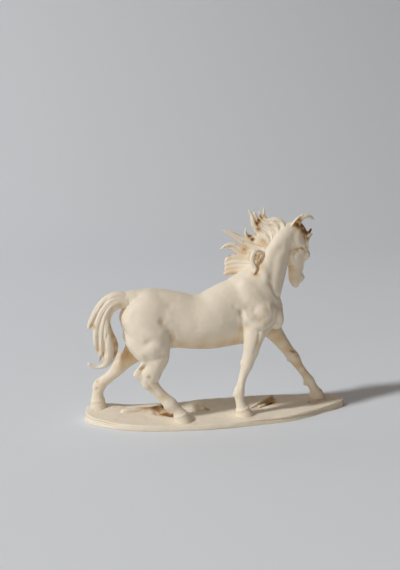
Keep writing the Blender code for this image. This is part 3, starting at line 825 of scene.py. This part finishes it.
mane = {
    "deepest": 0.6,  # of a slit between strands
    "voxel": 0.42,
    "triangles": 192000,
    # from the poll down to the withers
    "locks": [
        [
            (66, 5, 176, 3.2, 4), (67.3, 7, 181, 3.6, 4), (66, 9, 186.3, 3.8, 4),
            (61.5, 10.5, 189, 3.6, 4), (56, 12, 189, 3.0, 3.6), (51.5, 13, 189.6, 2.4, 3),
            (49, 13, 193.8, 1.6, 2), (48.7, 13, 201.5, 0.7, 0.7),
        ],
        [
            (60.5, 4, 172, 3.2, 4), (62.2, 7, 178, 3.2, 4), (61, 9, 183.6, 3.2, 4),
            (56.8, 11, 186.4, 2.8, 3.6), (51.8, 12.5, 186.4, 2.4, 3), (47.6, 13, 189, 1.8, 2.4),
            (45.2, 13.4, 193, 1.2, 1.6), (44.2, 14, 198.4, 0.7, 0.7),
        ],
        [
            (56, 4, 169, 3.4, 4), (56.8, 8, 175, 3.4, 4), (54.4, 11, 180.4, 3.2, 3.6),
            (49, 13, 183.4, 2.8, 3), (43.6, 13.6, 187.6, 2.4, 2.6), (40.6, 13.4, 192.6, 1.8, 2),
            (38.6, 13, 197.6, 0.8, 0.8),
        ],
        [
            (52.5, 5, 166.5, 3.6, 4), (50, 9, 172.6, 4.4, 4), (45, 12, 177.2, 4.4, 3.6),
            (40.4, 13, 182.4, 3.8, 3), (37.8, 13, 188, 2.8, 2.4), (36.4, 13, 194, 2.0, 1.8),
            (32.8, 13, 199.8, 0.7, 0.7),
        ],
        [
            (50, 5, 165, 3.6, 4), (44, 9, 169.6, 3.6, 3.6), (37.4, 12.5, 171.6, 3.0, 3),
            (32.4, 14, 174.0, 2.4, 2.4), (30.4, 14, 177.4, 1.5, 1.6), (30.9, 14, 181.6, 0.7, 0.7),
        ],
        [
            (50, 5, 163.6, 2.8, 3.6), (43, 9, 166.2, 3.0, 3.6), (35, 12, 168.4, 3.0, 3.2),
            (27, 13.5, 170.8, 2.8, 3), (20, 14, 174.6, 2.3, 2.6), (13.6, 14, 178.2, 1.6, 2),
            (5.6, 14, 180, 0.7, 0.7),
        ],
        [
            (47.5, 4, 160.2, 2.6, 3.4), (40, 8, 161, 2.8, 3.4), (32, 11.5, 164.2, 2.8, 3),
            (24.4, 13.5, 168.6, 2.4, 2.6), (17.6, 14, 173, 1.8, 2.2), (12, 14, 176.6, 1.1, 1.4),
            (8, 14, 178.6, 0.7, 0.7),
        ],
        [
            (44, 3, 158.2, 2.6, 3.4), (37, 7, 157.4, 2.7, 3.4), (30, 11, 158.8, 2.7, 3),
            (23, 13.5, 162.2, 2.5, 2.6), (16.4, 14, 165.2, 2.2, 2.2), (10.6, 14, 164.8, 1.7, 1.8),
            (4.4, 14, 160.9, 0.7, 0.7),
        ],
        [
            (40, 2, 154.2, 2.4, 3.2), (33, 7, 153.2, 2.5, 3.2), (27, 10.5, 154.8, 2.4, 3),
            (21, 13, 158.2, 2.1, 2.6), (15.4, 14, 161.4, 1.6, 2), (9.6, 14, 161.5, 0.5, 0.6),
        ],
        [
            (39, 1, 152, 3.4, 3.2), (32, 5.5, 151.4, 3.4, 3), (24, 9.5, 152.0, 3.3, 2.6),
            (16.5, 11.5, 152.8, 3.0, 2.2), (11.6, 12, 151.2, 2.5, 1.8), (9.4, 12, 148.4, 1.4, 1.0),
        ],
        [
            (38, 0, 148.6, 3.4, 3.2), (30, 5, 147.4, 3.3, 2.8), (22, 9, 148.0, 3.2, 2.4),
            (14.6, 11, 147.4, 3.0, 2), (9.2, 11.5, 145.4, 2.4, 1.4),
        ],
        [
            (36, -1, 145.6, 3.2, 3.2), (28, 4, 143.4, 3.0, 2.8), (20, 8, 143.4, 2.9, 2.4),
            (13.6, 10, 142.4, 2.8, 2), (8.8, 10.5, 140.8, 2.3, 1.4),
        ],
        [
            (32, -1, 142, 2.8, 3), (25, 3, 140.0, 2.8, 2.6), (18, 7, 139.4, 2.7, 2.2),
            (12, 9, 138.2, 2.6, 1.8), (7.8, 9.6, 136.4, 2.0, 1.2),
        ],
    ],
    # the body of hair behind them
    "backing": [
        [(60, 6, 176, 8, 3), (56, 11, 181.5, 7.5, 2.4), (50, 14.5, 184, 4.5, 2), (45, 15, 186, 2.5, 1.5)],
        [(58, 6, 170, 5, 3), (52, 10.5, 176.5, 5, 2.4), (46, 13, 180, 3, 1.8)],
        [(48, 6, 165, 6, 3), (40, 12, 168, 5.5, 2.4), (30, 15, 168.5, 3.5, 2), (22, 15.5, 171.5, 2, 1.5)],
        [(44, 4, 157, 4, 3), (34, 11, 158, 4.5, 2.4), (24, 14.5, 161.5, 3, 2), (17, 15.5, 164, 1.5, 1.2)],
        [
            (38, 3, 149, 8, 3), (27, 9.5, 147, 8.5, 2.2), (17, 12.5, 146.5, 8, 1.8),
            (11.5, 13, 145.6, 6.5, 1.2),
        ],
    ],
    "curl": [
        (48, 1, 157, 1.6, 2), (42.4, -3, 158.8, 1.8, 2.2), (39, -5, 160.8, 2.0, 2.6),
        (34.8, -6.6, 160.2, 2.2, 2.8), (32, -7.6, 157, 2.4, 2.8), (31, -8.4, 152.4, 2.5, 2.6),
        (32.2, -9.2, 147.8, 2.3, 2.4), (34.2, -10, 143.6, 1.8, 2.0), (32.4, -10.6, 138.4, 0.5, 0.6),
    ],
    "forelock": [
        [
            (84, 11, 186, 3, 4), (88.5, 11.4, 181, 3, 4), (92.6, 11.2, 175.6, 2.4, 3),
            (95.8, 11, 176, 1.7, 2), (98.2, 11, 179.6, 1.0, 1.2),
        ],
        [
            (88, 11.4, 181, 3, 3.6), (91.6, 11.6, 173, 2.6, 3.4), (93.2, 11.4, 166, 2.2, 3),
            (93.8, 11.2, 159, 1.4, 2.2),
        ],
        [
            (92.4, 11, 162, 1.6, 2), (93.4, 10.8, 166.6, 1.9, 2), (95.8, 10.8, 170.4, 1.4, 1.6),
            (99.2, 10.8, 174.8, 0.7, 0.7),
        ],
        [
            (90, 9, 176, 2.0, 2.4), (92, 8.4, 170, 1.8, 2), (93.6, 8.2, 164.6, 1.4, 1.6),
            (95.2, 8.6, 160, 0.6, 0.8),
        ],
    ],
    # slits and pockets, as seen from the side
    "slits": {
        "near": [
            ([(61.8, 173.5), (64.6, 179), (64, 185), (60, 188.6)], 1.3, -0.8),
            ([(57.6, 171), (59.4, 177), (58, 183), (53.4, 187.4)], 1.3, -0.7),
            ([(37.8, 181.2), (42.4, 177.6), (47, 176.6)], 1.5, -0.8),
            ([(31.4, 177.6), (34.6, 172.8), (37.2, 169.4)], 1.5, -1.0),
            ([(28, 166.8), (36, 162.4), (44, 161.4)], 1.4, -0.7),
        ],
    },
    # painted shade in the pockets between the locks, inside the curl and round the forelock
    "paintedShadeSpots": [
        ((46, 10.5, 193.4), 2.8, 1.4), ((43.5, 10.5, 189.6), 2.6, 1.4), ((41.5, 10.5, 186.6), 2.6, 1.3),
        ((42, 9, 180.6), 2.6, 0.9), ((33.8, 11, 174.6), 2.8, 1.5), ((36.4, 10, 170.6), 2.4, 1.3),
        ((28, 9, 161), 4, 0.6), ((25, 8, 155), 6, 0.3), ((15, 6, 137), 8, 0.4),
        ((36.5, 3, 153), 4.6, 1.4), ((12, 11, 156.6), 3, 1.2), ((46, 5, 168), 4, 0.5),
        ((88, 8, 184), 4.5, 1.2), ((91.6, 8, 178), 5, 1.4), ((97, 9, 177.8), 4, 1.3),
        ((93, 8, 171), 3.6, 0.8),
    ],
}


def makeMane():
    bm = bmesh.new()
    for i, lock in enumerate(mane["locks"]):
        addLock(bm, lock, seed=i * 1.7)
        addStrays(bm, lock, seed=i * 2.3)
    for lock in mane["backing"]:
        loft(bm, lock)
    addLock(bm, mane["curl"], strands=6, groove=0.14)
    for lock in mane["forelock"]:
        addLock(bm, lock, strands=6)
    mesh = smoothed(remeshed(bm, mane["voxel"]), 2)
    carveMesh(mesh, mane["slits"])
    mesh = pitsFilled(smoothed(mesh, 2), mane["deepest"])
    finishPiece("mane", lightened(mesh, mane["triangles"]), resin, mane["paintedShadeSpots"])


makeMane()

tail = {
    "deepest": 0.7,
    "voxel": 0.42,
    "triangles": 150000,
    "locks": [
        [
            (-72, -1, 111, 2, 3), (-88, -1, 117.6, 4.4, 5), (-100.5, -1.4, 120.4, 4.2, 5),
            (-110.4, -1.8, 117.2, 4.0, 4.8), (-118.2, -2, 110, 3.8, 4.4), (-123.6, -2, 101.2, 3.4, 4),
            (-126.8, -2, 94.6, 3.0, 3.4), (-128.2, -2, 90.4, 2.4, 2.6),
        ],
        [
            (-76, -2, 111, 3.5, 4), (-92, -2.6, 116.4, 4.0, 4.8), (-103.8, -3.4, 116.4, 4.0, 5),
            (-112.4, -3.8, 111, 3.8, 4.8), (-117.8, -3.8, 102.4, 3.7, 4.6),
            (-121, -3.6, 92.6, 3.5, 4.2), (-122, -3.2, 82.4, 3.3, 3.8), (-121.8, -2.8, 74, 2.8, 3.2),
            (-120.2, -2.4, 66.4, 1.7, 2.2),
        ],
        [
            (-80, -2, 110, 3.5, 4), (-96, -3.4, 114.4, 3.8, 4.6), (-106.4, -4.4, 111.8, 3.8, 4.8),
            (-112.6, -4.8, 104, 3.7, 4.6), (-115.6, -4.8, 94.4, 3.7, 4.4), (-117.2, -4.4, 83, 3.5, 4),
            (-117.6, -3.8, 72, 3.0, 3.6), (-118, -3.2, 62.6, 2.1, 2.6), (-119.4, -2.8, 56.4, 0.9, 1.2),
        ],
        [
            (-92, -3, 111.6, 3, 3.6), (-103, -4.2, 110, 3.2, 4), (-109.6, -4.8, 103, 3.2, 4.2),
            (-112.2, -5.2, 93.4, 3.4, 4.4), (-111.8, -5.4, 82, 4.3, 4.4), (-110.2, -5.4, 71, 5.0, 4.6),
            (-110.8, -5, 60.6, 4.6, 4.2), (-114.2, -4.2, 53.4, 2.7, 3), (-120.4, -3, 50.8, 1.9, 2.2),
            (-126, -2.4, 52.2, 1.6, 1.8), (-129.4, -2, 54, 2.1, 2.1),
        ],
        [
            (-82, 1, 109, 3.4, 4), (-94, 1.6, 114.2, 3.2, 4), (-104, 2, 112.2, 3.0, 4),
            (-108.8, 2.4, 104.8, 2.8, 4), (-110, 2.6, 96, 2.8, 4), (-109, 2.6, 88, 3.0, 4),
            (-106.5, 2.6, 80, 3.4, 4), (-103.9, 2.4, 71, 3.6, 4), (-105.4, 2, 62.6, 3.4, 3.6),
            (-109.4, 1, 54.4, 2.6, 3), (-113.4, 0, 50.8, 1.8, 2),
        ],
        [
            (-78, 3, 111, 4, 4), (-98, 4, 117, 4.4, 4.6), (-112, 4.6, 109, 4.8, 4.8),
            (-118.6, 4.8, 95, 4.8, 4.6), (-118.6, 4.6, 82, 4.4, 4.2), (-115.6, 4, 70, 3.8, 3.8),
            (-113, 3, 59, 2.6, 3),
        ],
    ],
    "root": [
        (-78, 0, 112, 4, 4), (-86, 0, 115.8, 6.2, 5.8), (-93, 0, 117.3, 6.3, 6.6),
        (-100, 0, 117, 4.8, 6),
    ],
    # slits and pockets, as seen from the side
    "slits": {
        "near": [
            ([(-117, 110), (-113.6, 115.4), (-110, 119)], 1.4, -0.7),
            ([(-121.6, 103.5), (-125.4, 95.5), (-127, 89.5)], 1.3, -0.8),
            ([(-106.6, 116.6), (-100, 118.4), (-94, 118)], 1.4, -0.5),
            ([(-97, 113.6), (-105.4, 110.5), (-109, 103.5), (-109.6, 97.5), (-107.4, 91)], 1.7, -0.7),
            ([(-107.4, 91), (-105, 82), (-103.4, 72)], 1.5, -0.7),
            ([(-113.8, 64), (-114.2, 75), (-111.8, 84)], 1.5, -0.8),
            ([(-118.8, 60.2), (-118.4, 57.4)], 1.4, -1.5),
            ([(-120.6, 82), (-120, 74), (-119.6, 67)], 1.4, -0.7),
        ],
    },
    # painted shade along the shaded right side of the tail and in its pockets
    "paintedShadeSpots": [
        ((-100, -3, 110), 4.5, 0.6), ((-105, -2.5, 106), 4.5, 0.9), ((-107, -2.5, 99), 5, 1.0),
        ((-105.5, -2, 91), 4.5, 0.85), ((-103, -1.5, 82), 5, 0.7), ((-100.5, -1, 73), 5, 0.7),
        ((-102.5, 0, 63), 5, 0.7), ((-118.6, -6, 58.6), 3.0, 1.2), ((-121.8, -5, 69), 4, 0.4),
        ((-125.6, -6, 92), 2.6, 0.9), ((-112, -6, 68), 2.6, 0.4),
    ],
}


def makeTail():
    bm = bmesh.new()
    loft(bm, tail["root"])
    for i, lock in enumerate(tail["locks"]):
        addLock(bm, lock, strands=7, groove=0.13, twist=15.0, seed=i * 1.3)
        addStrays(bm, lock, count=2, size=0.18, seed=i * 2.1)
    mesh = smoothed(remeshed(bm, tail["voxel"]), 3)
    carveMesh(mesh, tail["slits"])
    mesh = pitsFilled(smoothed(mesh, 2), tail["deepest"])
    finishPiece("tail", lightened(mesh, tail["triangles"]), resin, tail["paintedShadeSpots"])


makeTail()


# the ground: plan outline and what lies on it

ground = {
    "voxel": 0.55,
    "triangles": 190000,
    "underside": -8.0,
    "top": (-1.1, 0.045),  # height in the middle and its rise towards the back
    "unevenness": ((14.0, 5.0, 1.8), (0.5, 0.22, 0.07)),
    "edge": [
        (-134, 15), (-129, 2), (-119, -8), (-105, -19), (-86, -28), (-58, -34.5), (-26, -38),
        (4, -37.5), (36, -34), (64, -30), (88, -21), (107, -10.5), (125, -1), (137, 8), (141, 18),
        (134, 28), (110, 33), (70, 33.5), (30, 33), (-10, 32.5), (-50, 32.5), (-90, 33), (-118, 34.5),
        (-130, 30),
    ],
    # (centre, half sizes, turn)
    "stones": [
        ((-22.4, 9, 0.4), (4.6, 4.4, 4.6), 10), ((-15.6, 8, -0.2), (4.6, 4.2, 3.8), 40),
        ((-124, 19, 1.6), (3.2, 3.2, 2.6), 0), ((-84, 15, 1.2), (3.0, 2.6, 2.4), 20),
    ],
    "branches": [
        [
            (-96, 9, 0, 3.6, 4.2), (-91, 9.6, 0.3, 3.8, 4.2), (-84, 11, 0.4, 3.4, 3.8),
            (-75, 13, 0.6, 2.4, 3), (-64, 15.6, 0.8, 1.7, 2.2), (-54, 19, 1.0, 1.5, 1.8),
            (-44, 24, 1.4, 1.2, 1.5),
        ],
        [(-80, 10, -0.6, 1.4, 1.8), (-68, 10.5, -0.4, 1.5, 1.8), (-57, 14, 0, 1.3, 1.6)],
        [
            (33, 0, -1.6, 1.6, 2), (40, 5, -0.6, 2.2, 2.6), (46, 10, 0.4, 2.8, 3.2),
            (52, 15, 1.2, 3.0, 3.4), (58, 20, 1.6, 2.8, 3.4), (64, 26, 1.8, 2.0, 2.6),
        ],
        [(36, 8, -1, 1.6, 2), (42, 13, 0.6, 2.2, 2.6), (46, 18, 1.0, 1.8, 2.2)],
        [(44, 3, -1, 1.2, 1.6), (52, 7, -0.2, 1.6, 2), (60, 13, 0.4, 1.6, 2)],
    ],
    # pits and scores in the top, as seen from above
    "hollows": {
        "top": [
            ([(-62, 4), (-55, 3), (-49, -5)], 3.6, -3.0),
            ([(-58, 9), (-48, 12)], 2.2, -1.6),
            ([(34, -4), (46, 2), (54, 7)], -1.4, -1.4),
            ([(56, 9), (62, 17)], 2.6, -2.2),
            ([(98.8, 8.1)], 1.2, -1.2),
            ([(-30, 4), (-26, 2)], 1.6, -0.6),
            ([(-8, 6), (-10, 3)], 1.4, -0.8),
        ],
    },
    # bedding lines round the edge: how high, how deep
    "strata": [(0.24, 0.9), (0.48, 1.1), (0.72, 0.8)],
    # painted shade in the pits round the log and the branches and in small hollows of the top
    "paintedShadeSpots": [
        ((-55, 1, -3), 6, 1.8), ((-48, -3, -3), 4.6, 1.7), ((-62, 13, 0), 6, 0.9),
        ((-52, 18, 1), 5, 1.1), ((-74, 12, 0), 5, 0.4), ((59, 12, 0), 5, 1.2), ((54, 9, 0), 4, 1.0),
        ((62, 19, 1), 4, 0.8), ((-10, 6, -1), 2.4, 0.7), ((98.8, 8.1, -1.5), 1.6, 0.9),
        ((-50, 22, -1), 8, 0.45),
    ],
}


def plainTop(y):
    middle, slope = ground["top"]
    return middle + slope * y


def groundTop(x, y):
    # a mound under the far hind hoof and a low bank along the back
    rise = 3.2 * math.exp(-((x + 116) ** 2) / 900 - (y - 24) ** 2 / 500)
    rise += 1.8 / (1 + math.exp((14 - y) / 3.5)) / (1 + math.exp((abs(x - 30) - 62) / 6))
    waves = 0.35 * math.sin(x * 0.11 + y * 0.05) + 0.25 * math.sin(x * 0.05 - y * 0.17)
    return plainTop(y) + rise + waves


def insetPoint(point, inset):
    reach = math.hypot(point[0], point[1])
    return point[0] * (1 - inset / reach), point[1] * (1 - inset / reach)


def cutStrata(points, normals):
    # layers of rock show at the two ends and along the right of the front edge
    low = ground["underside"]
    x, y, z = points.T
    share = (z - low) / (plainTop(y) - low)
    strength = ramp(x, 5, 55) + ramp(-x, 98, 114) + 0.22
    onRim = np.clip((0.9 - np.abs(normals[:, 2])) / 0.3, 0, 1) * (z > low + 0.4)
    depth = np.zeros(len(points))
    for level, amount in ground["strata"]:
        line = level + 0.05 * np.sin(x * 0.06 + level * 9) + 0.02 * np.sin(x * 0.31 + level * 20)
        cut = np.exp(-np.abs((share - line) / 0.07) ** 1.5)
        ledge = np.clip((share - line) / 0.1, 0, 1) * 0.55
        depth += amount * (cut + ledge) * strength
    return points - normals * (depth * onRim)[:, None]


def makeGround():
    edge = smoothPath([*ground["edge"], ground["edge"][0]], 12)[:-1]
    low = ground["underside"]
    bm = bmesh.new()
    rings = []
    for level, inset in ((low, 0.8), (low + 0.5, 0.3), (low + 2.0, 0.0)):
        rings.append([(*insetPoint(p, inset), level) for p in edge])
    for inset, drop in ((0.0, 2.2), (0.2, 1.4), (0.7, 0.7), (1.6, 0.25), (3.2, 0.0)):
        ring = [insetPoint(p, inset) for p in edge]
        rings.append([(x, y, groundTop(x, y) - drop) for x, y in ring])
    for share in (0.8, 0.6, 0.4, 0.2, 0.03):
        ring = [share * p for p in edge]
        rings.append([(x, y, groundTop(x, y)) for x, y in ring])
    stack(bm, rings)
    for centre, radii, yaw in ground["stones"]:
        blob(bm, centre, radii, yaw=yaw)
    for branch in ground["branches"]:
        loft(bm, branch)
    mesh = smoothed(remeshed(bm, ground["voxel"]), 2)
    points, normals = readMesh(mesh)
    points = carve(points, normals, ground["hollows"], sideways=2)
    points = cutStrata(points, normals)
    above = ramp(points[:, 2], low + 0.3, low + 1.8)
    rough = wobble(points, normals, *ground["unevenness"], seed=3.0)
    points = points + (rough - points) * above[:, None]
    points[:, 2] = np.maximum(points[:, 2], low)
    writePoints(mesh, points)
    finishPiece("groundSlab", lightened(mesh, ground["triangles"]), resin, ground["paintedShadeSpots"])


makeGround()


# floor, light and camera

studio = {
    "paper": (0.78, 0.81, 0.84, 1),
    "world": (1.0, 0.70, 0.50, 1),
    "worldStrength": 0.095,
    # (way it comes from, distance, size, power, colour)
    "lamps": {
        "key": ((-1.0, -0.34, 1.0), 8.0, 0.8, 430.0, (0.96, 0.98, 1.0)),
        "fill": ((-0.45, -1.0, 0.2), 2.5, 1.6, 12.0, (1.0, 0.97, 0.92)),
    },
    "aim": (0, 0, 0.08),
    # the sheet of paper, in metres
    "front": -3.0,
    "backWall": 2.6,
    "wallHeight": 3.0,
    "bend": 1.2,
    "halfWidth": 5.0,
    "lens": 54,
    "sensor": 36,
    "cameraPlace": (-0.1951, -0.8093, 0.2686),
    "azimuth": -12.0,
    "pitch": 9.1,
}


def makeSweep():
    # one sheet of paper, floor curving up into the back wall
    bm = bmesh.new()
    wide, wall, bend = studio["halfWidth"], studio["backWall"], studio["bend"]
    front = studio["front"]
    start = bm.verts.new((-wide, front, 0)), bm.verts.new((wide, front, 0))
    edge = bm.edges.new(start)
    run = bmesh.ops.extrude_edge_only(bm, edges=[edge])["geom"]
    corners = [v for v in run if isinstance(v, bmesh.types.BMVert)]
    bmesh.ops.translate(bm, vec=(0, wall - bend - front, 0), verts=corners)
    last = [e for e in run if isinstance(e, bmesh.types.BMEdge)]
    curve = bmesh.ops.spin(
        bm, geom=corners + last, cent=(0, wall - bend, bend), axis=(1, 0, 0), angle=math.radians(90),
        steps=24,
    )
    last = [e for e in curve["geom_last"] if isinstance(e, bmesh.types.BMEdge)]
    run = bmesh.ops.extrude_edge_only(bm, edges=last)["geom"]
    corners = [v for v in run if isinstance(v, bmesh.types.BMVert)]
    bmesh.ops.translate(bm, vec=(0, 0, studio["wallHeight"]), verts=corners)
    bmesh.ops.recalc_face_normals(bm, faces=bm.faces)
    mesh = bpy.data.meshes.new("floor")
    bm.to_mesh(mesh)
    bm.free()
    for poly in mesh.polygons:
        poly.use_smooth = True
    floor = bpy.data.objects.new("floor", mesh)
    scene.collection.objects.link(floor)
    mat = bpy.data.materials.new("floorPaper")
    mat.use_nodes = True
    shader = mat.node_tree.nodes["Principled BSDF"]
    shader.inputs["Base Color"].default_value = studio["paper"]
    shader.inputs["Roughness"].default_value = 0.9
    mesh.materials.append(mat)


def addLamp(name, fromWay, distance, size, power, colour):
    way = Vector(fromWay).normalized()
    lamp = bpy.data.lights.new(name, "AREA")
    lamp.shape = "DISK"
    lamp.size = size
    lamp.energy = power
    lamp.color = colour
    obj = bpy.data.objects.new(name, lamp)
    obj.location = Vector(studio["aim"]) + way * distance
    obj.rotation_euler = (-way).to_track_quat("-Z", "Y").to_euler()
    scene.collection.objects.link(obj)


makeSweep()
for name, settings in studio["lamps"].items():
    addLamp(name, *settings)

world = bpy.data.worlds.new("studio")
world.use_nodes = True
world.node_tree.nodes["Background"].inputs["Color"].default_value = studio["world"]
world.node_tree.nodes["Background"].inputs["Strength"].default_value = studio["worldStrength"]
scene.world = world
scene.view_settings.view_transform = "Standard"

camData = bpy.data.cameras.new("camera")
camData.lens = studio["lens"]
camData.sensor_width = studio["sensor"]
camera = bpy.data.objects.new("camera", camData)
scene.collection.objects.link(camera)
camera.location = studio["cameraPlace"]
azimuth, pitch = math.radians(studio["azimuth"]), math.radians(studio["pitch"])
look = Vector((-math.sin(azimuth), math.cos(azimuth), -math.tan(pitch)))
camera.rotation_euler = look.to_track_quat("-Z", "Y").to_euler()
scene.camera = camera
print("studio ready")
